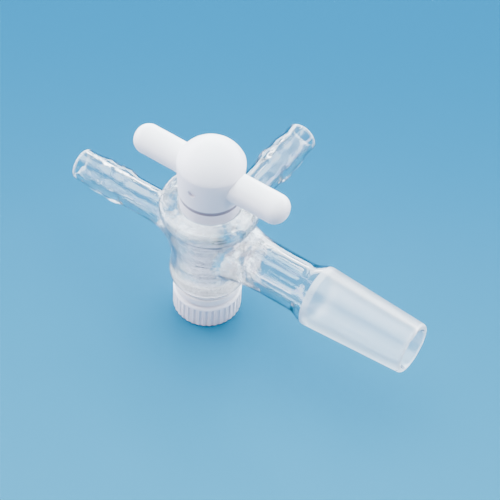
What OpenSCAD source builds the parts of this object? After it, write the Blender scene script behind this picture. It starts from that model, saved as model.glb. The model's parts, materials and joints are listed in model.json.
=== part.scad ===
// Three-way laboratory stopcock. A glass barrel carries two hose arms and a ground cone,
// all melted into one piece, and a PTFE plug with a T-shaped bore turns in it.
// The stopcock stands on its nut. The plug's axis is Z, the ground cone points along +X,
// one hose arm along -X and the other along +Y.

/* [Glass barrel] */
// Height of the barrel's mouth above the arms' axis
mouth_h = 12.4; // [10.5:0.1:15]
// Depth of the barrel's foot below the arms' axis
foot_depth = 13.6; // [11.3:0.1:16.4]
// Diameter over the rim at the mouth
rim_d = 23.8; // [20:0.1:29]
// Height of the thick rim
rim_h = 3.3; // [2.7:0.1:4]
// Step from the rim in to the barrel below it
rim_step = 1.3; // [0.6:0.1:2]
// Diameter of the waist above the foot
waist_d = 17.8; // [15:0.1:21.5]
// Diameter over the bead round the foot
foot_d = 18.8; // [16:0.1:23]
// Height of the bead round the foot
foot_bead_h = 4.5; // [3.7:0.1:5.6]
// Rounding of the rim's outer edge
rim_round = 1.4; // [0.8:0.1:1.9]
// Rounding of the rim's inner edge, where the plug goes in
mouth_round = 1.2; // [0.6:0.1:1.5]
// Rounding of the bead round the foot
foot_round = 1.4; // [0.8:0.1:1.9]

/* [Hose arms] */
// Distance from the plug's axis to the tip of the arm on -X
left_arm_len = 38.1; // [31:0.1:46]
// Distance from the plug's axis to the tip of the arm on +Y
side_arm_len = 39.6; // [32:0.1:48]
// Diameter of the hose arms' tube
arm_d = 8; // [6.6:0.1:9.6]
// Wall of the hose arms' tube
arm_wall = 1.2; // [0.9:0.05:1.5]
// Height of the low swelling nearest the tip
first_olive = 0.5; // [0.2:0.05:0.8]
// Height of the swelling further in
second_olive = 0.65; // [0.3:0.05:1]
// Length of the swollen end that grips the hose
grip_len = 15.4; // [12.5:0.1:18.5]

/* [Ground cone] */
// Diameter of the cone's thick end
cone_d = 15; // [12.5:0.1:18]
// Length of the ground cone
cone_len = 25.8; // [21:0.1:31]
// Length of cone over which its diameter shrinks by 1
cone_taper = 10; // [8:0.5:12]
// Distance from the plug's axis to the cone's thick end
cone_start = 31; // [27:0.1:38]
// Diameter of the tube that carries the cone
cone_tube_d = 12.3; // [10.2:0.1:14.8]
// Wall of the tube and the cone
cone_wall = 1.45; // [1.1:0.05:1.8]
// Length of the shoulder between tube and cone
shoulder_len = 4.6; // [3.5:0.1:6]

/* [Welds and ports] */
// Height of the swelling where an arm is melted onto the barrel
weld_rise = 3.2; // [2:0.1:3.8]
// Length along a hose arm over which its weld swells
hose_weld_len = 11; // [9:0.5:13]
// Length along the cone's tube over which its weld swells
cone_weld_len = 16; // [13:0.5:19]
// Diameter of the ports through the barrel's wall
port_d = 3.6; // [3:0.1:4.4]

/* [Plug] */
// Diameter of the taper at the barrel's mouth
plug_d = 14.4; // [12:0.1:17.3]
// Length of plug over which its diameter shrinks by 1
plug_taper = 5; // [4.1:0.1:7]
// Diameter of the bore straight through the plug
plug_bore_d = 3; // [2.5:0.1:3.6]
// Diameter of the branch that makes the bore a T
branch_bore_d = 2.8; // [2.3:0.1:3.3]
// Height of the head's lip above the barrel's mouth
collar_h = 3.9; // [3.2:0.1:4.7]
// Diameter of the head where the dome begins
head_d = 16; // [15.2:0.1:19.5]
// Diameter of the head at its lip
lip_d = 15.1; // [14.6:0.1:18]
// Height of the side of the head
head_side_h = 9.2; // [8.6:0.1:11]
// Height of the dome above the head's side
dome_h = 5.4; // [3.6:0.1:7]
// Width of the step from the taper's thin end in to the tail
tail_step = 0.65; // [0.5:0.05:1.2]
// Depth of the flat along the tail
tail_flat = 0.9; // [0.5:0.1:1.2]

/* [Handle bar] */
// Height of the bar's axis above the barrel's mouth
bar_rise = 9.3; // [8.8:0.1:10.5]
// Diameter of the bar
bar_d = 7.3; // [6:0.1:8.7]
// Length of the bar
bar_len = 42; // [35:0.5:51]
// Rounding of the bar's ends
bar_round = 3.2; // [1:0.1:3.5]

/* [Washers and ring] */
// Diameter of both washers
washer_d = 16.2; // [14:0.1:19.5]
// Thickness of the thrust washer
thrust_h = 1.2; // [1:0.1:1.6]
// Thickness of the backing washer
backing_h = 2.1; // [1.8:0.1:2.6]
// Thickness of the ring's cord
ring_cord = 1.8; // [1.6:0.1:2.2]
// Gap that the squeezed ring keeps between the washers
ring_gap = 0.45; // [0.3:0.05:0.7]
// Depth of the groove that holds the ring
groove_depth = 1.2; // [1:0.05:1.5]

/* [Nut] */
// Diameter over the nut's ribs
nut_d = 16.7; // [14.2:0.1:20]
// Height of the ribbed nut
nut_h = 7; // [6:0.1:8.4]
// Number of ribs
rib_count = 36; // [24:1:40]
// Depth of the grooves between ribs
rib_depth = 0.4; // [0.2:0.05:0.5]
// Height of the boss that meets the backing washer
boss_h = 0.55; // [0.3:0.05:0.8]
// Distance from the nut's lower face up to the tail's end
tail_inset = 1.2; // [0.5:0.1:2.5]

/* [Clearances] */
// Radial clearance of the plug in the barrel
plug_gap = 0.04; // [0.02:0.01:0.08]
// Radial clearance of washers and nut on the tail
tail_gap = 0.06; // [0.03:0.01:0.1]
// Radial clearance of the bar in the head
bar_gap = 0.02; // [0.01:0.01:0.04]

/* [Hidden] */
$fn = 96;
eps = 0.01;

// Heights above the nut's lower face, from the bottom up
boss_top = nut_h + boss_h;
backing_top = boss_top + backing_h;
thrust_bottom = backing_top + ring_gap;
foot_z = thrust_bottom + thrust_h;
axis_z = foot_z + foot_depth;
mouth_z = axis_z + mouth_h;
lip_z = mouth_z + collar_h;
crease_z = lip_z + head_side_h;
bar_z = mouth_z + bar_rise;

// Radii that follow from each other
function taper_r(z) = plug_d / 2 - (mouth_z - z) / (2 * plug_taper);
tail_lead = 0.6;
tail_r = taper_r(foot_z + tail_lead) - tail_step;
flat_x = tail_r - tail_flat;

// Smooth stretch of an outline from a to b, level at both ends
function ease(t) = (1 - cos(180 * t)) / 2;
function swell(a, b, steps = 8) =
    [for (i = [0 : steps]) [a.x + (b.x - a.x) * i / steps, a.y + (b.y - a.y) * ease(i / steps)]];
// Arc of an outline about a centre, from one angle to another
function arc(centre, r, from, to, steps = 8) =
    [for (i = [0 : steps]) let (a = from + (to - from) * i / steps) centre + r * [cos(a), sin(a)]];

// Outline points of [height, radius] turned into [radius, height]
function level(points) = [for (p = points) [p.y, p.x]];

// A turned solid along Z is laid on the arms' axis, pointing away from the plug
module arm(angle) {
    translate([0, 0, axis_z])
        rotate([0, 0, angle])
            rotate([0, 90, 0])
                children();
}

// A solid turned from an outline of [distance along the axis, radius] points
module turned(outline) {
    rotate_extrude()
        polygon(concat([[0, outline[0].x]], level(outline), [[0, outline[len(outline) - 1].x]]));
}

// ---- Glass ----

// Outline of the weld that swells an arm of radius r towards the barrel. Its wide end
// stays inside the barrel, whose radius beside the arms is about shell_r.
throat_r = rim_d / 2 - rim_step;
shell_r = (throat_r + waist_d / 2) / 2;
weld_sink = 0.8;
function rise(r) = min(weld_rise, shell_r - r - 0.6);
function weld_start(r) = sqrt(shell_r * shell_r - (r + rise(r)) * (r + rise(r))) - weld_sink;
function weld(r, len, steps = 10) =
    [for (i = [0 : steps]) [weld_start(r) + len * i / steps, r + rise(r) * pow(1 - i / steps, 3)]];

// Outside of a hose arm that reaches out to len: tube, two swellings and a slightly narrower tip
function hose_arm_outline(len) =
    let (
        r = arm_d / 2,
        foot = [len - grip_len, r],
        inner_top = [len - grip_len * 0.78, r + second_olive],
        dip = [len - grip_len * 0.585, r + first_olive * 0.7],
        outer_top = [len - grip_len * 0.45, r + first_olive],
        lip = arm_wall / 2
    )
    concat(
        weld(r, hose_weld_len),
        swell(foot, inner_top),
        swell(inner_top, dip),
        swell(dip, outer_top),
        arc([len - lip, r - lip], lip, 90, 0)
    );

// Distance from the plug's axis at which the ports begin to open out, and the lengths they need
port_end = shell_r - 0.4;
hose_port_flare = 3;
cone_port_flare = 5;

// Passage of an arm: a port through the barrel's wall that opens out to the tube's bore
function passage_outline(bore_r, start, end) = concat(
    [[0, port_d / 2]],
    swell([start, port_d / 2], [end, bore_r])
);

module hose_arm(len) {
    turned(hose_arm_outline(len));
}

module hose_arm_passage(len) {
    r = arm_d / 2 - arm_wall;
    lip = arm_wall / 2;
    turned(concat(
        passage_outline(r, port_end, port_end + hose_port_flare),
        [[len - lip, r]],
        arc([len - lip, r + lip], lip, -90, -20, 4),
        [[len + eps, r + lip]]
    ));
}

// Outside of the cone arm: tube, shoulder and ground cone, a distance x from the plug's axis
cone_end = cone_start + cone_len;
cone_tip_r = cone_d / 2 - cone_len / (2 * cone_taper);
cone_bevel = 0.5;

module cone_arm() {
    tube_r = cone_tube_d / 2;
    turned(concat(
        weld(tube_r, cone_weld_len),
        swell([cone_start - shoulder_len, tube_r], [cone_start, cone_d / 2]),
        [
            [cone_end - cone_bevel, cone_tip_r + cone_bevel / (2 * cone_taper)],
            [cone_end, cone_tip_r - cone_bevel * 0.6]
        ]
    ));
}

// The bore keeps the same wall all along the tube, the shoulder and the cone
module cone_arm_passage() {
    tube_bore = cone_tube_d / 2 - cone_wall;
    turned(concat(
        passage_outline(tube_bore, port_end, port_end + cone_port_flare),
        swell([cone_start - shoulder_len, tube_bore], [cone_start, cone_d / 2 - cone_wall]),
        [
            [cone_end - cone_bevel, cone_tip_r - cone_wall + cone_bevel / (2 * cone_taper)],
            [cone_end + eps, cone_tip_r - cone_wall + cone_bevel * 0.6]
        ]
    ));
}

// A thick rim round the mouth, a barrel that narrows to a waist and a bead round the foot
module barrel_outside() {
    bead_top = foot_z + foot_bead_h;
    waist_band = 1;
    rim_bottom = mouth_z - rim_h;
    throat_z = rim_bottom - 1.6;
    rotate_extrude()
        polygon(concat(
            [[0, foot_z]],
            arc([foot_d / 2 - foot_round, foot_z + foot_round], foot_round, -90, 0),
            level(swell([bead_top - foot_round, foot_d / 2], [bead_top, waist_d / 2])),
            level(swell([bead_top + waist_band, waist_d / 2], [throat_z, throat_r], 12)),
            level(swell([throat_z, throat_r], [rim_bottom, rim_d / 2])),
            arc([rim_d / 2 - rim_round, mouth_z - rim_round], rim_round, 0, 90),
            [[0, mouth_z]]
        ));
}

// Tapered seat of the plug. The mouth's rounding runs on smoothly from the taper.
module barrel_seat() {
    lean = atan(1 / (2 * plug_taper));
    round_z = mouth_z - mouth_round;
    round_r = taper_r(round_z + mouth_round * sin(lean)) + plug_gap + mouth_round * cos(lean);
    rotate_extrude()
        polygon(concat(
            [[0, foot_z - 1], [taper_r(foot_z - 1) + plug_gap, foot_z - 1]],
            arc([round_r, round_z], mouth_round, 180 - lean, 90),
            [[round_r, mouth_z + 1], [0, mouth_z + 1]]
        ));
}

module glass_body() color([0.85, 0.93, 0.97, 0.5]) {
    difference() {
        union() {
            barrel_outside();
            arm(180) hose_arm(left_arm_len);
            arm(90) hose_arm(side_arm_len);
            arm(0) cone_arm();
        }
        barrel_seat();
        arm(180) hose_arm_passage(left_arm_len);
        arm(90) hose_arm_passage(side_arm_len);
        arm(0) cone_arm_passage();
    }
}

// ---- Plug and bar ----

// Radius of the head's side, which widens from the lip up to the dome
function side_r(z) = (lip_d + (head_d - lip_d) * (z - lip_z) / head_side_h) / 2;

// Head: a side with a rounded lip closed by a dome, above a thinner collar
module head_profile() {
    top_r = head_d / 2;
    lip_round = 0.5;
    dome_r = (top_r * top_r + dome_h * dome_h) / (2 * dome_h);
    dome_z = crease_z + dome_h - dome_r;
    intersection() {
        translate([0, dome_z])
            circle(r = dome_r);
        polygon(concat(
            [[0, lip_z]],
            arc([side_r(lip_z + lip_round) - lip_round, lip_z + lip_round], lip_round, -90, 0, 4),
            [[top_r, crease_z], [top_r, dome_z + dome_r], [0, dome_z + dome_r]]
        ));
    }
}

module shank_profile() {
    taper_top = mouth_z + 1;
    taper_end = foot_z + tail_lead;
    tail_bevel = 0.5;
    polygon([
        [0, tail_inset],
        [tail_r - tail_bevel, tail_inset],
        [tail_r, tail_inset + tail_bevel],
        [tail_r, taper_end],
        [taper_r(taper_end), taper_end],
        [taper_r(taper_top), taper_top],
        [taper_r(taper_top), lip_z + eps],
        [0, lip_z + eps]
    ]);
}

// Shallow oval mark on the side of the head that faces away from the T's branch
module index_mark() {
    mark_w = 3;
    mark_h = 1.5;
    mark_depth = 0.35;
    mark_z = bar_z - 0.2;
    translate([0, mark_depth - side_r(mark_z), mark_z])
        rotate([90, 0, 0])
            linear_extrude(height = 2)
                union() {
                    square([mark_w - mark_h, mark_h], center = true);
                    for (side = [-1, 1])
                        translate([side * (mark_w - mark_h) / 2, 0])
                            circle(d = mark_h, $fn = 32);
                }
}

// T-shaped bore: straight through along X, with a branch towards +Y
module t_bore() {
    reach = plug_d / 2 + 2;
    translate([-reach, 0, axis_z])
        rotate([0, 90, 0])
            cylinder(h = 2 * reach, d = plug_bore_d, $fn = 48);
    translate([0, 0, axis_z])
        rotate([-90, 0, 0])
            cylinder(h = reach, d = branch_bore_d, $fn = 48);
}

module plug() color("white") {
    difference() {
        rotate_extrude()
            union() {
                head_profile();
                shank_profile();
            }
        translate([-head_d, 0, bar_z])
            rotate([0, 90, 0])
                cylinder(h = 2 * head_d, d = bar_d + 2 * bar_gap);
        t_bore();
        translate([flat_x, -tail_r - 1, 0])
            cube([tail_r, 2 * tail_r + 2, foot_z + tail_lead / 2]);
        index_mark();
    }
}

module handle_bar() color("white") {
    r = bar_d / 2;
    end_r = min(bar_round, r - 0.2);
    translate([-bar_len / 2, 0, bar_z])
        rotate([0, 90, 0])
            turned(concat(
                arc([end_r, r - end_r], end_r, 180, 90, 12),
                arc([bar_len - end_r, r - end_r], end_r, 90, 0, 12)
            ));
}

// ---- Washers, ring and nut ----

// Washer with a bevelled edge and a D hole that fits the flatted tail
module d_washer(bottom, h) {
    r = washer_d / 2;
    bevel = 0.3;
    difference() {
        rotate_extrude()
            polygon([
                [0, bottom],
                [r - bevel, bottom],
                [r, bottom + bevel],
                [r, bottom + h - bevel],
                [r - bevel, bottom + h],
                [0, bottom + h]
            ]);
        intersection() {
            translate([0, 0, bottom - 1])
                cylinder(h = h + 2, r = tail_r + tail_gap);
            translate([-2 * tail_r, -2 * tail_r, bottom - 1])
                cube([2 * tail_r + flat_x + tail_gap, 4 * tail_r, h + 2]);
        }
    }
}

module thrust_washer() color("ivory") {
    d_washer(thrust_bottom, thrust_h);
}

// Middle of the ring's cord, half-way across the washers' faces
ring_r = (tail_r + tail_gap + washer_d / 2) / 2;

// Ring squeezed flat where it meets both washers
module o_ring() color("tan") {
    height = ring_gap + groove_depth;
    rotate_extrude()
        intersection() {
            translate([ring_r, backing_top - groove_depth + height / 2])
                circle(d = ring_cord, $fn = 48);
            translate([0, backing_top - groove_depth])
                square([washer_d, height]);
        }
}

module backing_washer() color("white") {
    side_slack = 0.1;
    groove_w = ring_cord + 2 * side_slack;
    difference() {
        d_washer(boss_top, backing_h);
        translate([0, 0, backing_top - groove_depth])
            rotate_extrude()
                translate([ring_r - groove_w / 2, 0])
                    square([groove_w, groove_depth + 1]);
    }
}

// Body of the nut: bevelled top and bottom edges and a boss that meets the washer
module nut() color("white") {
    r = nut_d / 2;
    top_bevel = 0.7;
    foot_bevel = 0.4;
    plain_band = 0.3;
    rib_top = nut_h - top_bevel - plain_band;
    boss_inset = 1.4;
    groove_r = 0.45;
    difference() {
        rotate_extrude()
            polygon([
                [tail_r + tail_gap + foot_bevel, 0],
                [r - foot_bevel, 0],
                [r, foot_bevel],
                [r, nut_h - top_bevel],
                [r - top_bevel, nut_h],
                [r - boss_inset, nut_h],
                [r - boss_inset, boss_top],
                [tail_r + tail_gap, boss_top],
                [tail_r + tail_gap, foot_bevel]
            ]);
        for (i = [0 : rib_count - 1])
            rotate([0, 0, (i + 0.5) * 360 / rib_count])
                translate([r + groove_r - rib_depth, 0, -1])
                    cylinder(h = rib_top + 1, r = groove_r, $fn = 24);
    }
}

glass_body();
plug();
handle_bar();
thrust_washer();
o_ring();
backing_washer();
nut();
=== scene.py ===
import json
import math

import bmesh
import bpy
from mathutils import Matrix, Vector


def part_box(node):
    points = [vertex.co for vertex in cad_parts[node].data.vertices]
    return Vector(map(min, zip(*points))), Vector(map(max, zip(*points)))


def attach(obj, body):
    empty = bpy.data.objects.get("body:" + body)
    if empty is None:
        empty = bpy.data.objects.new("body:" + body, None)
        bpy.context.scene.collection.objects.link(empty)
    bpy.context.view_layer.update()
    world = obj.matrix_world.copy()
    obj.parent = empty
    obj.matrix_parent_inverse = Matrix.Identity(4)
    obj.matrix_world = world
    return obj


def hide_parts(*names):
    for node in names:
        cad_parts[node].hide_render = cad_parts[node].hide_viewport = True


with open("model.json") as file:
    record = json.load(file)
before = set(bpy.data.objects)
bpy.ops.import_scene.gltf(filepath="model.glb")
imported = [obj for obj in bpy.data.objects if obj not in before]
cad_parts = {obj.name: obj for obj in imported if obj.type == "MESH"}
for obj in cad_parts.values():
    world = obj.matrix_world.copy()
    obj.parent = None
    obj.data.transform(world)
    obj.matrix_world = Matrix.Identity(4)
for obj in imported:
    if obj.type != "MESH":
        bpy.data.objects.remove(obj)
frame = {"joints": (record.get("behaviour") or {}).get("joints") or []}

# Sizes are written in millimetres and turned into metres here.
MM = 0.001
FULL_TURN = 2 * math.pi
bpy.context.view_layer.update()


def in_mm(node):
    """A node's lowest and highest corner."""
    low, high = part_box(node)
    return low / MM, high / MM


glass_low, glass_high = in_mm("glass_body")
plug_low, plug_high = in_mm("plug")
bar_low, bar_high = in_mm("handle_bar")
thrust_low, thrust_high = in_mm("thrust_washer")
ring_low, ring_high = in_mm("o_ring")
backing_low, backing_high = in_mm("backing_washer")
nut_low, nut_high = in_mm("nut")
# Heights of the arms' axes, of the barrel's two ends and of the bar.
AXIS_Z = next(j for j in frame["joints"] if j["name"] == "plug_turn")["pos_m"][2] / MM
FOOT_Z = glass_low.z
MOUTH_Z = glass_high.z
BAR_Z = (bar_low.z + bar_high.z) / 2

# ---------------------------------------------------------------- bench tools


def clear_bench():
    """Leaves nothing selected, in object mode, so that an operator acts only on what it makes."""
    if bpy.context.object and bpy.context.object.mode != "OBJECT":
        bpy.ops.object.mode_set(mode="OBJECT")
    bpy.ops.object.select_all(action="DESELECT")


def take(piece):
    """Makes one piece the selected and active one."""
    clear_bench()
    piece.select_set(True)
    bpy.context.view_layer.objects.active = piece


def choose(piece, edges=None, faces=None, vertices=None):
    """In edit mode, selects the edges, faces or vertices that pass a test and nothing else."""
    bpy.ops.mesh.select_mode(type="FACE" if faces else "EDGE" if edges else "VERT")
    bpy.ops.mesh.select_all(action="DESELECT")
    mesh = bmesh.from_edit_mesh(piece.data)
    test = faces or edges or vertices
    for part in mesh.faces if faces else mesh.edges if edges else mesh.verts:
        if test(part):
            part.select_set(True)
    mesh.select_flush_mode()
    bmesh.update_edit_mesh(piece.data)


def face_outwards():
    bpy.ops.mesh.select_all(action="SELECT")
    bpy.ops.mesh.normals_make_consistent(inside=False)


def turn(name, outline, steps, along=Vector((0, 0, 1)), centre=Vector((0, 0, 0))):
    """Turns an outline of (distance along the axis, radius) round an axis, as on a lathe."""
    side = Vector((0, 1, 0)) if abs(along.y) < 0.5 else Vector((1, 0, 0))
    points = [(centre + along * z + side * r) * MM for z, r in outline]
    clear_bench()
    bpy.ops.mesh.primitive_plane_add(size=MM, location=points[0])
    piece = bpy.context.object
    piece.name = name
    bpy.ops.object.mode_set(mode="EDIT")
    bpy.ops.mesh.select_mode(type="VERT")
    bpy.ops.mesh.select_all(action="SELECT")
    bpy.ops.mesh.merge(type="CENTER")
    for start, end in zip(points, points[1:]):
        bpy.ops.mesh.extrude_vertices_move(TRANSFORM_OT_translate={"value": end - start})
    bpy.ops.mesh.select_all(action="SELECT")
    bpy.ops.mesh.spin(steps=steps, angle=FULL_TURN, center=centre * MM, axis=along)
    bpy.ops.mesh.select_all(action="SELECT")
    bpy.ops.mesh.remove_doubles(threshold=1e-7)
    face_outwards()
    bpy.ops.object.mode_set(mode="OBJECT")
    lay_down(piece)
    return piece


def lay_down(piece):
    """Puts a piece's place, turn and size into its mesh."""
    take(piece)
    bpy.ops.object.transform_apply(location=True, rotation=True, scale=True)


def apply_modifier(piece, kind, **settings):
    take(piece)
    modifier = piece.modifiers.new(kind.lower(), kind)
    for key, value in settings.items():
        setattr(modifier, key, value)
    bpy.ops.object.modifier_apply(modifier=modifier.name)


def combine(piece, tool, operation):
    """Cuts a piece with a tool, or keeps or adds what they share, and clears the tool away."""
    apply_modifier(piece, "BOOLEAN", object=tool, operation=operation, solver="EXACT")
    mesh = tool.data
    bpy.data.objects.remove(tool)
    bpy.data.meshes.remove(mesh)


def tidy_surface(piece, sharp_deg=32):
    """Merges doubled points, points every face outwards and shades the piece smooth."""
    take(piece)
    bpy.ops.object.mode_set(mode="EDIT")
    bpy.ops.mesh.select_all(action="SELECT")
    bpy.ops.mesh.remove_doubles(threshold=2e-7)
    face_outwards()
    bpy.ops.object.mode_set(mode="OBJECT")
    bpy.ops.object.shade_smooth_by_angle(angle=math.radians(sharp_deg))


def eased(t):
    return (1 - math.cos(math.pi * t)) / 2


def swell(start, end, steps):
    """Outline points that run smoothly from start to end and are level at both."""
    return [
        (
            start[0] + (end[0] - start[0]) * i / steps,
            start[1] + (end[1] - start[1]) * eased(i / steps),
        )
        for i in range(steps + 1)
    ]


def arc(centre, radius, start_deg, end_deg, steps):
    """Outline points on an arc; 0 degrees points along the axis and 90 away from it."""
    points = []
    for i in range(steps + 1):
        angle = math.radians(start_deg + (end_deg - start_deg) * i / steps)
        points.append((centre[0] + radius * math.cos(angle), centre[1] + radius * math.sin(angle)))
    return points


# ---------------------------------------------------------------- glass body

BARREL_STEPS = 32  # corners round the barrel's cage
ROW = 1.9  # height of a row of the cage where the arms join
WAIST_R, FLARE = 8.9, 1.7
SEAT_MOUTH_R = 7.2
TAPER_RUN = 10  # height over which the taper's radius changes by 1
SEAT_GAP = 0.04  # between the seat and the plug's taper
PORT_R = 1.8
HOSE_R, HOSE_BORE_R, HOSE_WALL = 4.0, 2.8, 1.2
HOSE_MOUTH_R = 3.4
TUBE_R, TUBE_BORE_R = 6.15, 4.7
CONE_LEN, CONE_R = 25.8, 7.5
GROUND_R = 7.445  # the cone's radius just past its softened thick end
X, Y = Vector((1, 0, 0)), Vector((0, 1, 0))
CROSSING = Vector((0, 0, AXIS_Z))  # where the bores meet


def seat_r(z):
    """Radius of the plug's taper at a height."""
    return SEAT_MOUTH_R - (MOUTH_Z - z) / TAPER_RUN


def rounding(steps):
    """How far a subdivided ring of so many corners shrinks from its cage."""
    return (2 + math.cos(FULL_TURN / steps)) / 3


def barrel_r(z):
    """Outer radius of the barrel between its foot bead and its rim."""
    waist_z, throat_z = FOOT_Z + 5.5, MOUTH_Z - 4.9
    return WAIST_R + FLARE * eased(min(max((z - waist_z) / (throat_z - waist_z), 0), 1))


def barrel_cage():
    """Outline of the barrel: foot bead, waist, flare and rim, closed at both ends."""
    bottom, top = FOOT_Z, MOUTH_Z
    foot = [(bottom, 0), (bottom, 4), (bottom, 7)]
    foot += arc((bottom + 1.4, 8.0), 1.4, 180, 90, 3)
    bead = [(bottom + 2.4, 9.4), (bottom + 3.2, 9.36)]
    bead += [(bottom + 4.0, 9.1), (bottom + 4.7, 8.92)]
    flare = [(AXIS_Z + ROW * i, barrel_r(AXIS_Z + ROW * i)) for i in range(-4, 5)]
    rim = [(top - 3.95, 11.3), (top - 3.35, 11.84), (top - 2.5, 11.92), (top - 1.9, 11.92)]
    rim += arc((top - 1.4, 10.5), 1.42, 90, 0, 3)
    mouth = [(top, 9.4), (top, 8.5), (top, 7.4), (top, 4), (top, 0)]
    grow = 1 / rounding(BARREL_STEPS)
    return [(z, r * grow) for z, r in foot + bead + flare + rim + mouth]


def open_side(glass, out, half_faces, hole_r):
    """Opens the barrel's side towards an arm: a square of faces goes, and the hole's edge is
    drawn into a ring on the barrel's surface."""
    around = Vector((-out.y, out.x, 0))
    reach = ROW * half_faces
    spread = math.pi * (2 * half_faces - 0.5) / BARREL_STEPS

    def in_patch(face):
        centre = face.calc_center_median() / MM
        flat = Vector((centre.x, centre.y, 0))
        return (
            flat.length > 7
            and abs(centre.z - AXIS_Z) < reach
            and abs(math.atan2(flat.dot(around), flat.dot(out))) < spread
        )

    choose(glass, faces=in_patch)
    bpy.ops.mesh.delete(type="FACE")
    mesh = bmesh.from_edit_mesh(glass.data)
    rim = {v.index: v.co / MM for e in mesh.edges if e.is_boundary for v in e.verts}
    for index, old in rim.items():
        across, rise = old.dot(around), old.z - AXIS_Z
        half_width = barrel_r(old.z) * math.sin(FULL_TURN * half_faces / BARREL_STEPS)
        square = (across / half_width, rise / reach)
        if abs(square[0]) > abs(square[1]):
            angle = math.pi / 4 * square[1] / square[0] + (math.pi if square[0] < 0 else 0)
        else:
            angle = math.pi / 2 - math.pi / 4 * square[0] / square[1]
            angle += math.pi if square[1] < 0 else 0
        across, rise = hole_r * math.cos(angle), hole_r * math.sin(angle)
        cage_r = barrel_r(AXIS_Z + rise) / rounding(BARREL_STEPS)
        new = around * across + out * math.sqrt(cage_r**2 - across**2)
        new.z = AXIS_Z + rise
        choose(glass, vertices=lambda v: v.index == index)
        bpy.ops.transform.translate(value=(new - old) * MM)


def draw_arm(glass, out, corners, outline):
    """Draws a tube out of the hole, ring by ring, closes its tip and melts it to the barrel."""
    shrink = rounding(corners)
    distance, radius = outline[0]
    quarter = math.pi / 2
    lean = (0, quarter, 0) if abs(out.x) > 0.5 else (quarter, 0, 0)
    bpy.ops.mesh.select_mode(type="VERT")
    bpy.ops.mesh.primitive_circle_add(
        vertices=corners,
        radius=radius / shrink * MM,
        fill_type="NOTHING",
        location=(CROSSING + out * distance) * MM,
        rotation=lean,
    )
    for (near, r_near), (far, r_far) in zip(outline, outline[1:]):
        bpy.ops.mesh.extrude_region_move(
            TRANSFORM_OT_translate={"value": out * (far - near) * MM}
        )
        wide = r_far / r_near
        stretch = [1 if abs(part) > 0.5 else wide for part in out]
        bpy.ops.transform.resize(value=stretch, center_override=(CROSSING + out * far) * MM)
    bpy.ops.mesh.edge_face_add()
    choose(glass, edges=lambda e: e.is_boundary)
    bpy.ops.mesh.bridge_edge_loops(type="SINGLE")


def tip_rings(end, radius, wall):
    """Rings of a fire-polished tip."""
    lip = wall / 2
    rounded = [
        (end - lip + lip * math.sin(a), radius - lip + lip * math.cos(a))
        for a in (0, math.pi / 6, math.pi / 3, math.pi / 2)
    ]
    return [(end - 2.2, radius), (end - 1.0, radius)] + rounded + [(end, radius - wall * 0.8)]


def hose_arm_rings(end):
    """Rings of a hose arm: weld, tube, two swellings and tip."""
    weld = [(11.0, 4.7), (12.2, 4.38), (13.7, 4.15), (15.6, 4.04), (18.1, HOSE_R)]
    tube = [(20.6, HOSE_R), (end - 15.9, HOSE_R)]
    grip = [
        (end - 15.0, 4.05),
        (end - 14.2, 4.24),
        (end - 13.2, 4.54),
        (end - 12.1, 4.69),
        (end - 11.1, 4.62),
        (end - 10.1, 4.43),
        (end - 9.1, 4.32),
        (end - 8.2, 4.42),
        (end - 7.1, 4.53),
        (end - 6.1, 4.44),
        (end - 5.0, 4.2),
        (end - 4.0, 4.06),
        (end - 3.1, 4.01),
    ]
    return weld + tube + grip + tip_rings(end, HOSE_R, HOSE_WALL)


def cone_arm_rings(end):
    """Rings of the cone arm: weld, tube, shoulder and ground cone with a bevelled tip."""
    start = end - CONE_LEN
    weld = [(11.2, 6.9), (12.4, 6.52), (14.1, 6.3), (16.3, 6.18), (18.8, TUBE_R)]
    tube = [(21.2, TUBE_R), (23.6, TUBE_R), (start - 5.0, TUBE_R)]
    shoulder = swell((start - 4.4, TUBE_R), (start - 0.35, 7.42), 5)[1:]
    edge = [(start, CONE_R), (start + 0.35, 7.485), (start + 0.7, 7.465)]
    edge += [(start + 1.1, GROUND_R)]
    cone = [(start + 1.1 + 3.45 * i, GROUND_R - 0.1725 * i) for i in range(1, 7)]
    tip = [
        (end - 2.2, 6.32),
        (end - 1.0, 6.26),
        (end - 0.6, 6.24),
        (end - 0.45, 6.22),
        (end - 0.08, 5.99),
        (end, 5.9),
        (end, 5.2),
    ]
    return weld + tube + shoulder + edge + cone + tip


def blow_glass():
    """The glass body: a barrel and three arms melted into one skin, then bored."""
    glass = turn("blown_glass", barrel_cage(), BARREL_STEPS)
    take(glass)
    bpy.ops.object.mode_set(mode="EDIT")
    hose_arms = ((-X, -glass_low.x), (Y, glass_high.y))
    for out, end in hose_arms:
        open_side(glass, out, 3, 6.0)
        draw_arm(glass, out, 24, hose_arm_rings(end))
    open_side(glass, X, 4, 7.5)
    draw_arm(glass, X, 32, cone_arm_rings(glass_high.x))
    face_outwards()
    bpy.ops.object.mode_set(mode="OBJECT")
    lay_down(glass)
    apply_modifier(glass, "SUBSURF", levels=2, render_levels=2)
    combine(glass, seat_reamer(), "DIFFERENCE")
    for out, end in hose_arms:
        combine(glass, hose_borer(out, end), "DIFFERENCE")
    combine(glass, cone_borer(glass_high.x), "DIFFERENCE")
    tidy_surface(glass)
    return glass


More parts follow.
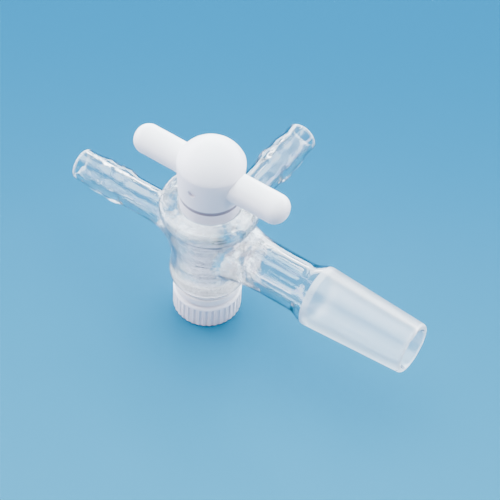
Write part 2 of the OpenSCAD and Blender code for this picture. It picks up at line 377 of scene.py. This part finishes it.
def seat_reamer():
    """The tool that leaves the tapered seat, with a rounded mouth and a bevelled foot."""
    lean, soft = math.atan(1 / TAPER_RUN), 1.2
    round_z = MOUTH_Z - soft
    round_r = seat_r(round_z + soft * math.sin(lean)) + SEAT_GAP + soft * math.cos(lean)
    seat = [
        (FOOT_Z - 1, 0),
        (FOOT_Z - 1, seat_r(FOOT_Z) + 0.5),
        (FOOT_Z, seat_r(FOOT_Z) + 0.34),
        (FOOT_Z + 0.3, seat_r(FOOT_Z + 0.3) + SEAT_GAP),
    ]
    seat += arc((round_z, round_r), soft, 270 + math.degrees(lean), 354, 8)
    seat += [(MOUTH_Z + 0.01, round_r), (MOUTH_Z + 1, round_r), (MOUTH_Z + 1, 0)]
    return turn("seat_reamer", seat, 96)


def hose_borer(out, end):
    """The tool that bores a hose arm, from the port in the seat to the flared tip."""
    soft = 0.6
    bore = [(0, 0), (0, PORT_R)] + swell((9.35, PORT_R), (12.35, HOSE_BORE_R), 8)
    bore += [(end - soft, HOSE_BORE_R)]
    bore += [
        (end - soft + soft * math.sin(a), HOSE_MOUTH_R - soft * math.cos(a))
        for a in (math.pi / 8, math.pi / 4, math.pi * 3 / 8)
    ]
    bore += [(end + 0.01, HOSE_MOUTH_R), (end + 1, HOSE_MOUTH_R), (end + 1, 0)]
    return turn("hose_bore", bore, 48, out, CROSSING)


def cone_borer(end):
    """The tool that bores the cone's arm, wider inside the cone and bevelled at its tip."""
    start = end - CONE_LEN
    bore = [(0, 0), (0, PORT_R)] + swell((9.35, PORT_R), (14.35, TUBE_BORE_R), 10)
    bore += swell((start - 4.6, TUBE_BORE_R), (start, 6.05), 8)
    bore += [(end - 0.5, 4.785), (end + 0.01, 5.09), (end + 1, 5.09), (end + 1, 0)]
    return turn("cone_bore", bore, 64, X, CROSSING)


# ---------------------------------------------------------------- plug and bar

LIP_RISE = 3.9  # from the glass's mouth up to the head's lip
LIP_Z = MOUTH_Z + LIP_RISE
GROOVE_H, GROOVE_DEPTH = 1.25, 0.35
HEAD_LIP_R, HEAD_SPREAD, HEAD_SIDE_H = 7.55, 0.45, 9.2
HEAD_R, DOME_R = 8.0, 8.626
BAR_R, BAR_HOLE_R, BAR_END_R = 3.65, 3.67, 3.2
REACH = 12  # how far a drill goes past the plug's middle


def head_r(z):
    """Radius of the head's side, which widens from the lip up to the dome."""
    return HEAD_LIP_R + HEAD_SPREAD * (z - MOUTH_Z - LIP_RISE) / HEAD_SIDE_H


def press_mark(plug):
    """A small mark, a little wider than high, on the head's side away from the T's branch."""
    mark_z = BAR_Z - 0.2
    mark_r, mark_depth, widened = 0.9, 0.8, 0.15
    punch_len = 2
    clear_bench()
    bpy.ops.mesh.primitive_cylinder_add(
        vertices=32,
        radius=mark_r * MM,
        depth=punch_len * MM,
        location=(0, (mark_depth - punch_len / 2 - head_r(mark_z)) * MM, mark_z * MM),
        rotation=(math.pi / 2, 0, 0),
    )
    punch = bpy.context.object
    lay_down(punch)
    bpy.ops.object.mode_set(mode="EDIT")
    for side in (-1, 1):
        choose(punch, vertices=lambda v: v.co.x * side > 0.01 * MM)
        bpy.ops.transform.translate(value=(side * widened * MM, 0, 0))
    bpy.ops.object.mode_set(mode="OBJECT")
    combine(plug, punch, "DIFFERENCE")


def drill(name, start, radius, steps, along, centre):
    """A straight drill from a place on an axis to its reach."""
    outline = [(start, 0), (start, radius), (REACH, radius), (REACH, 0)]
    return turn(name, outline, steps, along, centre)


def turn_plug():
    """The plug: tail, taper, collar and domed head, with its bores, bar hole, flat and mark."""
    taper_end = FOOT_Z + 0.6
    tail_r = seat_r(taper_end) - 0.65
    collar_r = seat_r(MOUTH_Z + 1)
    outline = [
        (plug_low.z, 0),
        (plug_low.z, tail_r - 0.5),
        (plug_low.z + 0.5, tail_r),
        (taper_end, tail_r),
        (taper_end, seat_r(taper_end) - 0.12),
        (taper_end + 0.12, seat_r(taper_end + 0.12)),
        (MOUTH_Z + 1, collar_r),
        (LIP_Z - GROOVE_H, collar_r),
        (LIP_Z - 1.05, collar_r - GROOVE_DEPTH),
        (LIP_Z, collar_r - GROOVE_DEPTH),
    ]
    soft = 0.25
    outline += arc((LIP_Z + soft, head_r(LIP_Z + soft) - soft), soft, 180, 90, 6)
    dome_z, crease_z = plug_high.z - DOME_R, MOUTH_Z + 13.1
    edge_deg = math.degrees(math.asin(HEAD_R / DOME_R))
    outline += [(crease_z - 0.2, 7.99)] + arc((dome_z, 0), DOME_R, edge_deg - 1.2, 0, 18)
    plug = turn("turned_plug", outline, 96)
    for drilled in (
        ("bar_drill", -REACH, BAR_HOLE_R, 64, X, Vector((0, 0, BAR_Z))),
        ("bore_drill", -REACH, 1.5, 48, X, CROSSING),
        ("branch_drill", 0, 1.4, 48, Y, CROSSING),
    ):
        combine(plug, drill(*drilled), "DIFFERENCE")
    press_mark(plug)
    flat_x = tail_r - 0.9
    clear_bench()
    bpy.ops.mesh.primitive_cube_add(size=1, location=((flat_x + 2) * MM, 0, 0))
    flat_tool = bpy.context.object
    flat_tool.scale = (4 * MM, 12 * MM, 2 * (FOOT_Z + 0.3) * MM)
    lay_down(flat_tool)
    combine(plug, flat_tool, "DIFFERENCE")
    tidy_surface(plug)
    return plug


def turn_bar():
    """The bar that turns the plug, with well rounded ends."""
    half, soft = (bar_high.x - bar_low.x) / 2, BAR_END_R
    outline = [(-half, 0)] + [
        (-half + soft - soft * math.cos(a), BAR_R - soft + soft * math.sin(a))
        for a in [math.pi / 2 * i / 12 for i in range(13)]
    ]
    outline += [(-z, radius) for z, radius in reversed(outline)]
    bar = turn("pushed_bar", outline, 64, X, Vector((0, 0, BAR_Z)))
    tidy_surface(bar)
    return bar


# ---------------------------------------------------------------- washers, ring and nut

HOLE_R, HOLE_FLAT_X = 4.07, 3.17  # the D hole's radius, and how far out its flat is
RING_R = (HOLE_R + 8.1) / 2  # radius of the ring's middle line
CORD_R = 0.9
NUT_SIDE_H = 7.0
RIBS, FLUTE_R, FLUTE_DEPTH = 36, 0.45, 0.4


def cut_washer(name, low, high, edge):
    """A washer with softened edges and a D hole for the flatted tail."""
    r = (high.x - low.x) / 2
    soft = [
        (edge - edge * math.cos(a), r - edge + edge * math.sin(a))
        for a in (0, math.pi / 8, math.pi / 4, math.pi * 3 / 8, math.pi / 2)
    ]
    outline = [(low.z, 0)] + [(low.z + z, radius) for z, radius in soft]
    outline += [(high.z - z, radius) for z, radius in reversed(soft)] + [(high.z, 0)]
    washer = turn(name, outline, 96)
    bottom, top = low.z - 1, high.z + 1
    hole = turn("hole_punch", [(bottom, 0), (bottom, HOLE_R), (top, HOLE_R), (top, 0)], 64)
    take(hole)
    bpy.ops.object.mode_set(mode="EDIT")
    bpy.ops.mesh.select_all(action="SELECT")
    bpy.ops.mesh.bisect(
        plane_co=(HOLE_FLAT_X * MM, 0, 0), plane_no=(1, 0, 0), use_fill=True, clear_outer=True
    )
    bpy.ops.object.mode_set(mode="OBJECT")
    combine(washer, hole, "DIFFERENCE")
    return washer


def make_washers():
    """The two washers; the one on the nut has a groove in which the ring lies."""
    thrust = cut_washer("thrust_plate", thrust_low, thrust_high, 0.3)
    backing = cut_washer("backing_plate", backing_low, backing_high, 0.3)
    deep = backing_high.z - 1.2
    inner, outer = RING_R - 1.0, RING_R + 1.0
    groove = [(deep, inner), (deep, outer), (deep + 3, outer), (deep + 3, inner)]
    combine(backing, turn("groove_tool", groove + groove[:1], 96), "DIFFERENCE")
    for washer in (thrust, backing):
        tidy_surface(washer)
    return thrust, backing


def mould_ring():
    """The sealing ring, squeezed flat where it meets the washers."""
    middle_z = (ring_low.z + ring_high.z) / 2
    half = (ring_high.z - ring_low.z) / 2
    points = []
    for i in range(25):
        angle = FULL_TURN * i / 24
        z = CORD_R * math.sin(angle)
        points.append((middle_z + max(-half, min(half, z)), RING_R + CORD_R * math.cos(angle)))
    ring = turn("squeezed_ring", points, 96)
    tidy_surface(ring, 60)
    return ring


def mould_nut():
    """The ribbed nut: the flutes between its ribs are cut by one tool copied round it."""
    r = (nut_high.x - nut_low.x) / 2
    bore = HOLE_R
    outline = [
        (0.4, bore),
        (0, bore + 0.4),
        (0, r - 0.45),
        (0.12, r - 0.18),
        (0.4, r),
        (6.3, r),
        (6.62, r - 0.12),
        (6.88, r - 0.4),
        (NUT_SIDE_H, r - 0.75),
        (NUT_SIDE_H, r - 1.4),
        (nut_high.z - 0.15, r - 1.4),
        (nut_high.z, r - 1.55),
        (nut_high.z, bore + 0.3),
        (nut_high.z - 0.3, bore),
    ]
    nut = turn("ribbed_nut", outline + outline[:1], 144)
    clear_bench()
    bpy.ops.mesh.primitive_cylinder_add(
        vertices=16,
        radius=FLUTE_R * MM,
        depth=7 * MM,
        location=((r + FLUTE_R - FLUTE_DEPTH) * MM, 0, 2.5 * MM),
    )
    cutter = bpy.context.object
    bpy.ops.object.mode_set(mode="EDIT")
    choose(cutter, faces=lambda f: f.normal.z > 0.9)
    bpy.ops.mesh.bevel(offset=0.25 * MM, segments=3, affect="EDGES")
    bpy.ops.object.mode_set(mode="OBJECT")
    lay_down(cutter)
    flutes = []
    for i in range(RIBS):
        flute = cutter.copy()
        flute.data = cutter.data.copy()
        bpy.context.scene.collection.objects.link(flute)
        flute.data.transform(Matrix.Rotation(FULL_TURN * (i + 0.5) / RIBS, 4, "Z"))
        flutes.append(flute)
    bpy.data.objects.remove(cutter)
    clear_bench()
    for flute in flutes:
        flute.select_set(True)
    bpy.context.view_layer.objects.active = flutes[0]
    bpy.ops.object.join()
    combine(nut, bpy.context.object, "DIFFERENCE")
    tidy_surface(nut, 40)
    return nut


# ---------------------------------------------------------------- finishes

GLASS_IOR, PTFE_IOR = 1.474, 1.38
RIPPLE_SHARE = 6.5  # height of the flame's ripple against the slow wave
DRAWN_SHARE = 3.0  # height of the lines drawn round the barrel against the slow wave


def new_finish(name):
    finish = bpy.data.materials.new(name)
    finish.use_nodes = True
    nodes, links = finish.node_tree.nodes, finish.node_tree.links
    shader = nodes["Principled BSDF"]
    return finish, nodes, links, shader


def add_node(nodes, kind, **settings):
    node = nodes.new(kind)
    for key, value in settings.items():
        setattr(node, key, value)
    return node


def feed(links, socket, value):
    """Gives a socket a plain value, or joins another node's output to it."""
    if isinstance(value, bpy.types.NodeSocket):
        links.new(value, socket)
    else:
        socket.default_value = value


def calculate(nodes, links, operation, *values, **settings):
    """One step of arithmetic on plain values and other nodes' outputs."""
    node = add_node(nodes, "ShaderNodeMath", operation=operation, **settings)
    for socket, value in zip(node.inputs, values):
        feed(links, socket, value)
    return node.outputs[0]


def remap(nodes, links, value, start, end, low=0, high=1, steady=False):
    """Carries a value that runs from start to end over to low to high, eased or steadily."""
    node = nodes.new("ShaderNodeMapRange")
    node.interpolation_type = "LINEAR" if steady else "SMOOTHSTEP"
    feed(links, node.inputs["Value"], value)
    for label, limit in (("From Min", start), ("From Max", end), ("To Min", low), ("To Max", high)):
        feed(links, node.inputs[label], limit)
    return node.outputs["Result"]


def object_place(nodes):
    return nodes.new("ShaderNodeTexCoord").outputs["Object"]


def add_noise(nodes, links, place, scale, detail):
    node = nodes.new("ShaderNodeTexNoise")
    feed(links, node.inputs["Vector"], place)
    feed(links, node.inputs["Scale"], scale)
    feed(links, node.inputs["Detail"], detail)
    return node.outputs["Fac"]


def start_group(name, given, put_out):
    """A node group with number inputs at their usual values, and its two ends."""
    group = bpy.data.node_groups.new(name, "ShaderNodeTree")
    for label, usual in given:
        socket = group.interface.new_socket(label, in_out="INPUT", socket_type="NodeSocketFloat")
        socket.default_value = usual
    for label in put_out:
        group.interface.new_socket(label, in_out="OUTPUT", socket_type="NodeSocketFloat")
    inside, outside = group.nodes.new("NodeGroupInput"), group.nodes.new("NodeGroupOutput")
    return group, group.nodes, group.links, inside.outputs, outside.inputs


def uneven_group():
    """A slow unevenness over the surface, as a value round a middle, for tone or gloss."""
    group, nodes, links, given, result = start_group(
        "uneven", (("Scale", 200.0), ("Middle", 0.5), ("Spread", 0.1)), ("Value", "Height")
    )
    noise = add_noise(nodes, links, object_place(nodes), given["Scale"], 4)
    centred = calculate(nodes, links, "SUBTRACT", noise, 0.5)
    spread = calculate(nodes, links, "MULTIPLY", centred, given["Spread"])
    total = calculate(nodes, links, "ADD", spread, given["Middle"], use_clamp=True)
    links.new(total, result["Value"])
    links.new(noise, result["Height"])
    return group


def turned_group():
    """Fine turning lines round an upright axis, broken up a little by noise."""
    group, nodes, links, given, result = start_group(
        "turning_lines", (("Lines per metre", 2500.0), ("Break-up", 0.3)), ("Height",)
    )
    place = object_place(nodes)
    split = nodes.new("ShaderNodeSeparateXYZ")
    links.new(place, split.inputs[0])
    lines = add_node(nodes, "ShaderNodeTexNoise", noise_dimensions="1D")
    lines.inputs["Detail"].default_value = 3
    lines.inputs["Scale"].default_value = 1
    spacing = calculate(nodes, links, "MULTIPLY", split.outputs["Z"], given["Lines per metre"])
    links.new(spacing, lines.inputs["W"])
    grain = add_noise(nodes, links, place, 900, 2)
    mix = add_node(nodes, "ShaderNodeMix", data_type="FLOAT")
    links.new(given["Break-up"], mix.inputs["Factor"])
    links.new(lines.outputs["Fac"], mix.inputs["A"])
    links.new(grain, mix.inputs["B"])
    links.new(mix.outputs["Result"], result["Height"])
    return group


def reach_group():
    """A mask that is 1 round the barrel's upright axis and fades away from it."""
    group, nodes, links, given, result = start_group(
        "flame_reach", (("Near", 0.012), ("Far", 0.02)), ("Mask",)
    )
    flat = add_node(nodes, "ShaderNodeVectorMath", operation="MULTIPLY")
    flat.inputs[1].default_value = (1, 1, 0)
    links.new(object_place(nodes), flat.inputs[0])
    out = add_node(nodes, "ShaderNodeVectorMath", operation="LENGTH")
    links.new(flat.outputs["Vector"], out.inputs[0])
    fade = remap(nodes, links, out.outputs["Value"], given["Near"], given["Far"], 1, 0)
    links.new(fade, result["Mask"])
    return group


uneven = uneven_group()
turning_lines = turned_group()
flame_reach = reach_group()


def place_group(nodes, group, **values):
    node = add_node(nodes, "ShaderNodeGroup", node_tree=group)
    for key, value in values.items():
        node.inputs[key.replace("_", " ")].default_value = value
    return node


def add_bump(nodes, links, shader, height, strength, depth_mm):
    bump = nodes.new("ShaderNodeBump")
    bump.inputs["Strength"].default_value = strength
    bump.inputs["Distance"].default_value = depth_mm * MM
    links.new(height, bump.inputs["Height"])
    links.new(bump.outputs["Normal"], shader.inputs["Normal"])


def add_gloss(nodes, links, shader, scale, middle, spread):
    """Makes the roughness vary a little round a middle value."""
    gloss = place_group(nodes, uneven, Scale=scale, Middle=middle, Spread=spread)
    links.new(gloss.outputs["Value"], shader.inputs["Roughness"])
    return gloss


def tone(nodes, links, value, first, second, socket):
    """Colours a socket between two tones."""
    mix = add_node(nodes, "ShaderNodeMix", data_type="RGBA")
    mix.inputs["A"].default_value = (*first, 1)
    mix.inputs["B"].default_value = (*second, 1)
    links.new(value, mix.inputs["Factor"])
    links.new(mix.outputs["Result"], socket)


def let_lamps_through(nodes, links, shader, tint):
    """Lets lamp light pass straight through the glass, so that what it holds isn't in the dark."""
    output = nodes["Material Output"]
    path = nodes.new("ShaderNodeLightPath")
    clear = nodes.new("ShaderNodeBsdfTransparent")
    clear.inputs["Color"].default_value = (*tint, 1)
    mix = nodes.new("ShaderNodeMixShader")
    links.new(path.outputs["Is Shadow Ray"], mix.inputs["Fac"])
    links.new(shader.outputs["BSDF"], mix.inputs[1])
    links.new(clear.outputs["BSDF"], mix.inputs[2])
    links.new(mix.outputs["Shader"], output.inputs["Surface"])


def worked_share(nodes, links):
    """How strongly the flame has worked the glass: fully at the welds, less at the swellings."""
    welds = place_group(nodes, flame_reach, Near=0.0125, Far=0.021)
    to_grips = place_group(nodes, flame_reach, Near=0.0225, Far=0.0245)
    past_grips = place_group(nodes, flame_reach, Near=0.0345, Far=0.0365)
    band = calculate(
        nodes, links, "SUBTRACT", past_grips.outputs["Mask"], to_grips.outputs["Mask"]
    )
    split = nodes.new("ShaderNodeSeparateXYZ")
    links.new(object_place(nodes), split.inputs[0])
    hose_side = remap(nodes, links, split.outputs["X"], 0.008, 0.012, 0.55, 0, steady=True)
    grips = calculate(nodes, links, "MULTIPLY", band, hose_side)
    return calculate(nodes, links, "ADD", grips, welds.outputs["Mask"])


def clear_glass_finish():
    """Blown borosilicate: clear, with the slight waviness that the flame leaves, and painted dark
    outlines towards its grazing edges.
    """
    finish, nodes, links, shader = new_finish("blown_clear_glass")
    shader.inputs["IOR"].default_value = GLASS_IOR
    shader.inputs["Transmission Weight"].default_value = 1
    shader.inputs["Sheen Weight"].default_value = 0.15
    shader.inputs["Sheen Roughness"].default_value = 0.2
    # Painted shade: the colour darkens to deep blue where the surface turns edge-on, standing in
    # for the dark lines that refraction shows at the glass's edges.
    edge = nodes.new("ShaderNodeLayerWeight")
    edge.inputs["Blend"].default_value = 0.5
    depth = remap(nodes, links, edge.outputs["Facing"], 0.5, 0.78)
    tone(nodes, links, depth, (0.985, 0.995, 1), (0.01, 0.04, 0.1), shader.inputs["Base Color"])
    add_gloss(nodes, links, shader, 160.0, 0.0, 0.02)
    wave = place_group(nodes, uneven, Scale=140.0).outputs["Height"]
    ripple = place_group(nodes, uneven, Scale=560.0).outputs["Height"]
    drawn = place_group(nodes, turning_lines, Lines_per_metre=1100.0)
    drawn.inputs["Break-up"].default_value = 0.12
    barrel = place_group(nodes, flame_reach, Near=0.0122, Far=0.0134)
    melted = calculate(nodes, links, "MULTIPLY", ripple, worked_share(nodes, links))
    pulled = calculate(nodes, links, "MULTIPLY", drawn.outputs["Height"], barrel.outputs["Mask"])
    waves = calculate(nodes, links, "MULTIPLY_ADD", melted, RIPPLE_SHARE, wave)
    surface = calculate(nodes, links, "MULTIPLY_ADD", pulled, DRAWN_SHARE, waves)
    add_bump(nodes, links, shader, surface, 0.5, 0.12)
    let_lamps_through(nodes, links, shader, (0.9, 0.93, 0.95))
    return finish


def seat_glass_finish(name, clearness):
    """The lapped seat: the white plug shows through it, and its colour carries fine dark streaks
    along the lap's lines, a painted reflection of the streaks inside the wall.
    """
    finish, nodes, links, shader = new_finish(name)
    shader.inputs["IOR"].default_value = GLASS_IOR
    shader.inputs["Transmission Weight"].default_value = clearness
    lap = place_group(nodes, turning_lines, Lines_per_metre=1500.0)
    lap.inputs["Break-up"].default_value = 0.14
    # Painted reflection: near-black streaks in the colour, following the lap's lines, stand in for
    # streaky reflections in the glass.
    painted_streak_mask = remap(nodes, links, lap.outputs["Height"], 0.4, 0.46)
    tone(nodes, links, painted_streak_mask, (0.02, 0.025, 0.05), (0.98, 0.98, 1), shader.inputs["Base Color"])
    add_gloss(nodes, links, shader, 700.0, 0.0, 0.015)
    add_bump(nodes, links, shader, lap.outputs["Height"], 0.25, 0.05)
    let_lamps_through(nodes, links, shader, (0.92, 0.94, 0.96))
    return finish


def ground_glass_finish(name, clearness, roughness):
    """Glass ground with fine abrasive: it scatters light and looks milky."""
    finish, nodes, links, shader = new_finish(name)
    shader.inputs["IOR"].default_value = GLASS_IOR
    shader.inputs["Transmission Weight"].default_value = clearness
    patches = add_gloss(nodes, links, shader, 900.0, roughness, 0.14).outputs["Height"]
    tone(nodes, links, patches, (0.94, 0.975, 1), (0.98, 0.995, 1), shader.inputs["Base Color"])
    grain = place_group(nodes, uneven, Scale=5200.0)
    add_bump(nodes, links, shader, grain.outputs["Height"], 0.3, 0.03)
    let_lamps_through(nodes, links, shader, (0.75, 0.79, 0.82))
    return finish


def ptfe_finish(name, dark, light, roughness, lines, strength):
    """White PTFE, a little waxy, with turning lines where it was turned."""
    finish, nodes, links, shader = new_finish(name)
    shader.inputs["IOR"].default_value = PTFE_IOR
    shader.inputs["Subsurface Weight"].default_value = 0.15
    shader.inputs["Subsurface Radius"].default_value = (1, 1, 1)
    shader.inputs["Subsurface Scale"].default_value = 0.9 * MM
    patches = place_group(nodes, uneven, Scale=320.0, Middle=0.5, Spread=1.2)
    tone(nodes, links, patches.outputs["Value"], dark, light, shader.inputs["Base Color"])
    gloss = add_gloss(nodes, links, shader, 900.0, roughness, 0.18)
    if lines:
        cut = place_group(nodes, turning_lines, Lines_per_metre=lines)
        add_bump(nodes, links, shader, cut.outputs["Height"], strength, 0.05)
    else:
        add_bump(nodes, links, shader, gloss.outputs["Height"], strength, 0.03)
    return finish


def ring_finish():
    """Translucent silicone rubber."""
    finish, nodes, links, shader = new_finish("silicone_rubber")
    shader.inputs["Subsurface Weight"].default_value = 0.5
    shader.inputs["Subsurface Radius"].default_value = (1, 0.8, 0.6)
    shader.inputs["Subsurface Scale"].default_value = 1.2 * MM
    patches = place_group(nodes, uneven, Scale=500.0, Middle=0.5, Spread=1.0).outputs["Value"]
    tone(nodes, links, patches, (0.62, 0.56, 0.47), (0.72, 0.67, 0.58), shader.inputs["Base Color"])
    gloss = add_gloss(nodes, links, shader, 1200.0, 0.42, 0.2)
    add_bump(nodes, links, shader, gloss.outputs["Height"], 0.2, 0.03)
    return finish


clear_glass = clear_glass_finish()
ground_glass = ground_glass_finish("ground_glass", 0.94, 0.33)
ground_edge = ground_glass_finish("ground_edge", 0.7, 0.3)
seat_glass = seat_glass_finish("lapped_seat_glass", 0.95)
mouth_seat = seat_glass_finish("ground_mouth_glass", 0.8)
fired_lip = ground_glass_finish("fired_lip", 0.76, 0.05)
plug_white = ptfe_finish(
    "turned_ptfe", (0.895, 0.9, 0.94), (0.935, 0.94, 0.965), 0.36, 5200.0, 0.35
)
# Painted shade: a grey PTFE tone for the groove under the head, standing in for the shadow under
# the lip.
groove_painted_shade = ptfe_finish("groove_painted_shade_ptfe", (0.3, 0.31, 0.37), (0.38, 0.39, 0.45), 0.5, 0, 0.2)
bar_white = ptfe_finish("smooth_ptfe", (0.915, 0.915, 0.925), (0.945, 0.95, 0.955), 0.34, 0, 0.12)
washer_white = ptfe_finish("washer_ptfe", (0.9, 0.9, 0.89), (0.94, 0.94, 0.93), 0.4, 0, 0.15)
nut_white = ptfe_finish("moulded_white", (0.87, 0.88, 0.91), (0.92, 0.93, 0.95), 0.38, 0, 0.2)
ring_rubber = ring_finish()

# ---------------------------------------------------------------- where each finish goes

# Ends of the ground stretch, measured from the cone's thick end.
GROUND_START, GROUND_END = 1.4, 25.1
MOUTH_SEAT_H = 3.6


def from_cone(face):
    """How far a face is along the ground cone, and how far its middle is from the cone's axis."""
    centre = face.calc_center_median() / MM
    return centre.x - (glass_high.x - CONE_LEN), math.hypot(centre.y, centre.z - AXIS_Z)


def from_barrel(face):
    """The middle of a face, and how far it is from the barrel's axis."""
    centre = face.calc_center_median() / MM
    return centre, math.hypot(centre.x, centre.y)


def is_ground(face):
    """The cone's outside, between its two softened ends."""
    along, out = from_cone(face)
    return GROUND_START < along < GROUND_END and out > 7.0 - along / 20


def is_ground_edge(face):
    """The rounded thick end of the ground cone, and the bevel and face of its tip."""
    along, out = from_cone(face)
    return (-0.45 < along <= GROUND_START and out > 6.6) or (along >= GROUND_END and out > 5.15)


def is_seat(face):
    """The barrel's tapered wall round the plug."""
    centre, out = from_barrel(face)
    return abs(out - seat_r(centre.z)) < 0.12 and abs(face.normal.z) < 0.3


def is_mouth_seat(face):
    """The top of the tapered wall, ground so that the plug slips in easily."""
    return is_seat(face) and face.calc_center_median().z > (MOUTH_Z - MOUTH_SEAT_H) * MM


def is_fired_lip(face):
    """The hose tips and the lower edge of the barrel's foot, rounded by the flame."""
    centre, out = from_barrel(face)
    tip = min(centre.x - glass_low.x, glass_high.y - centre.y)
    return tip < 0.7 or (out < 12.5 and centre.z < FOOT_Z + 0.8)


def is_groove(face):
    """The groove under the head, whose faces get a darker tone as painted shade."""
    centre, out = from_barrel(face)
    return LIP_Z - GROOVE_H < centre.z < LIP_Z - 0.05 and out > 6.5


def finish_piece(piece, finish, body, node):
    """Gives a piece its finish and its place in the frame."""
    piece.data.materials.clear()
    piece.data.materials.append(finish)
    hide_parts(node)
    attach(piece, body)


def finish_parts(piece, parts):
    """Gives the faces that pass each test a finish of their own; a later test wins."""
    take(piece)
    bpy.ops.object.mode_set(mode="EDIT")
    for index, (finish, test) in enumerate(parts, 1):
        piece.data.materials.append(finish)
        choose(piece, faces=test)
        piece.active_material_index = index
        bpy.ops.object.material_slot_assign()
    bpy.ops.object.mode_set(mode="OBJECT")


# ---------------------------------------------------------------- pieces

glass = blow_glass()
finish_piece(glass, clear_glass, "glass", "glass_body")
finish_parts(
    glass,
    (
        (ground_glass, is_ground),
        (seat_glass, is_seat),
        (ground_edge, is_ground_edge),
        (fired_lip, is_fired_lip),
        (mouth_seat, is_mouth_seat),
    ),
)
plug = turn_plug()
finish_piece(plug, plug_white, "plug", "plug")
# The groove's faces take the grey tone: painted shade under the head's lip.
finish_parts(plug, ((groove_painted_shade, is_groove),))
finish_piece(turn_bar(), bar_white, "plug", "handle_bar")
thrust_plate, backing_plate = make_washers()
finish_piece(thrust_plate, washer_white, "washers", "thrust_washer")
finish_piece(backing_plate, washer_white, "washers", "backing_washer")
finish_piece(mould_ring(), ring_rubber, "washers", "o_ring")
finish_piece(mould_nut(), nut_white, "nut", "nut")

# ---------------------------------------------------------------- floor, light and camera

AIR_FRONT, AIR_BACK = 1.1, 26.0  # strength of the air light in front and behind
TURN_DEG, TILT_DEG, ROLL_DEG = 32.38, 50.27, 3.26
EYE_ASIDE, EYE_BELOW, EYE_AWAY = 9.665, 3.631, 472.5


def lay_floor():
    """A pale blue board, a little deeper in colour towards the back."""
    clear_bench()
    bpy.ops.mesh.primitive_plane_add(size=6, location=(0, 0, 0))
    floor = bpy.context.object
    floor.name = "pale_floor"
    finish, nodes, links, shader = new_finish("pale_blue_board")
    away = add_node(nodes, "ShaderNodeVectorMath", operation="DOT_PRODUCT")
    away.inputs[1].default_value = (-0.535, 0.845, 0)
    links.new(object_place(nodes), away.inputs[0])
    fade = remap(nodes, links, away.outputs["Value"], -0.12, 0.12)
    front, back = (0.02, 0.16, 0.265), (0.001, 0.085, 0.175)
    tone(nodes, links, fade, front, back, shader.inputs["Base Color"])
    shader.inputs["Roughness"].default_value = 1
    shader.inputs["Specular IOR Level"].default_value = 0
    floor.data.materials.append(finish)


def hang_light(name, place, size, power, tint):
    data = bpy.data.lights.new(name, "AREA")
    data.shape = "RECTANGLE"
    data.size, data.size_y = size
    data.energy = power
    data.color = tint
    lamp = bpy.data.objects.new(name, data)
    bpy.context.scene.collection.objects.link(lamp)
    lamp.location = place
    to_object = Vector((0, 0, 0.025)) - lamp.location
    lamp.rotation_euler = to_object.to_track_quat("-Z", "Y").to_euler()


def fill_room():
    """Soft air light: brightest low down at the back, dimmer overhead and in front."""
    world = bpy.data.worlds.new("studio_air")
    bpy.context.scene.world = world
    world.use_nodes = True
    nodes, links = world.node_tree.nodes, world.node_tree.links
    air = nodes["Background"]
    place = nodes.new("ShaderNodeTexCoord").outputs["Generated"]
    split = nodes.new("ShaderNodeSeparateXYZ")
    links.new(place, split.inputs[0])
    behind = add_node(nodes, "ShaderNodeVectorMath", operation="DOT_PRODUCT")
    behind.inputs[1].default_value = (-0.54, 0.84, 0)
    links.new(place, behind.inputs[0])
    behind = behind.outputs["Value"]
    height = remap(nodes, links, split.outputs["Z"], 0.24, 0.33, 1, 0.08)
    depth = remap(nodes, links, behind, -0.4, 0.5, AIR_FRONT, AIR_BACK, steady=True)
    links.new(calculate(nodes, links, "MULTIPLY", height, depth), air.inputs["Strength"])
    spread = remap(nodes, links, behind, -0.6, 0.6, steady=True)
    tone(nodes, links, spread, (1, 0.66, 1), (0.93, 0.97, 1), air.inputs["Color"])


def set_camera():
    """Looks down from the front right, at the angle that the stopcock is shown from."""
    a, e, roll = (math.radians(v) for v in (TURN_DEG, TILT_DEG, ROLL_DEG))
    back = Vector((math.sin(a) * math.cos(e), -math.cos(a) * math.cos(e), math.sin(e)))
    level = Vector((math.cos(a), math.sin(a), 0))
    rise = back.cross(level)
    right = level * math.cos(roll) + rise * math.sin(roll)
    up = rise * math.cos(roll) - level * math.sin(roll)
    data = bpy.data.cameras.new("studio_camera")
    data.sensor_width = 36
    data.lens = 144
    data.clip_start = 0.01
    camera = bpy.data.objects.new("studio_camera", data)
    bpy.context.scene.collection.objects.link(camera)
    eye = (right * EYE_ASIDE - up * EYE_BELOW + back * EYE_AWAY + CROSSING) * MM
    axes = Matrix((right, up, back)).transposed().to_4x4()
    camera.matrix_world = Matrix.Translation(eye) @ axes
    bpy.context.scene.camera = camera


lay_floor()
for name, place, size, power, tint in (
    ("high_soft_box", (-0.1, 0.12, 0.9), (1.0, 0.8), 40.0, (0.8, 0.93, 1)),
    ("left_soft_box", (-0.85, -0.2, 0.34), (0.2, 0.2), 1.7, (0.95, 0.93, 1)),
    ("back_lamp", (-0.31, 0.49, 0.69), (0.12, 0.12), 2.5, (1, 0.98, 0.96)),
    ("right_lamp", (0.8, 0.0, 0.36), (0.12, 0.12), 0.8, (1, 0.97, 1)),
    ("low_card", (-0.206, -0.558, 0.078), (0.14, 0.08), 1.8, (1, 0.88, 1)),
):
    hang_light(name, place, size, power, tint)
fill_room()
set_camera()

bpy.context.view_layer.update()
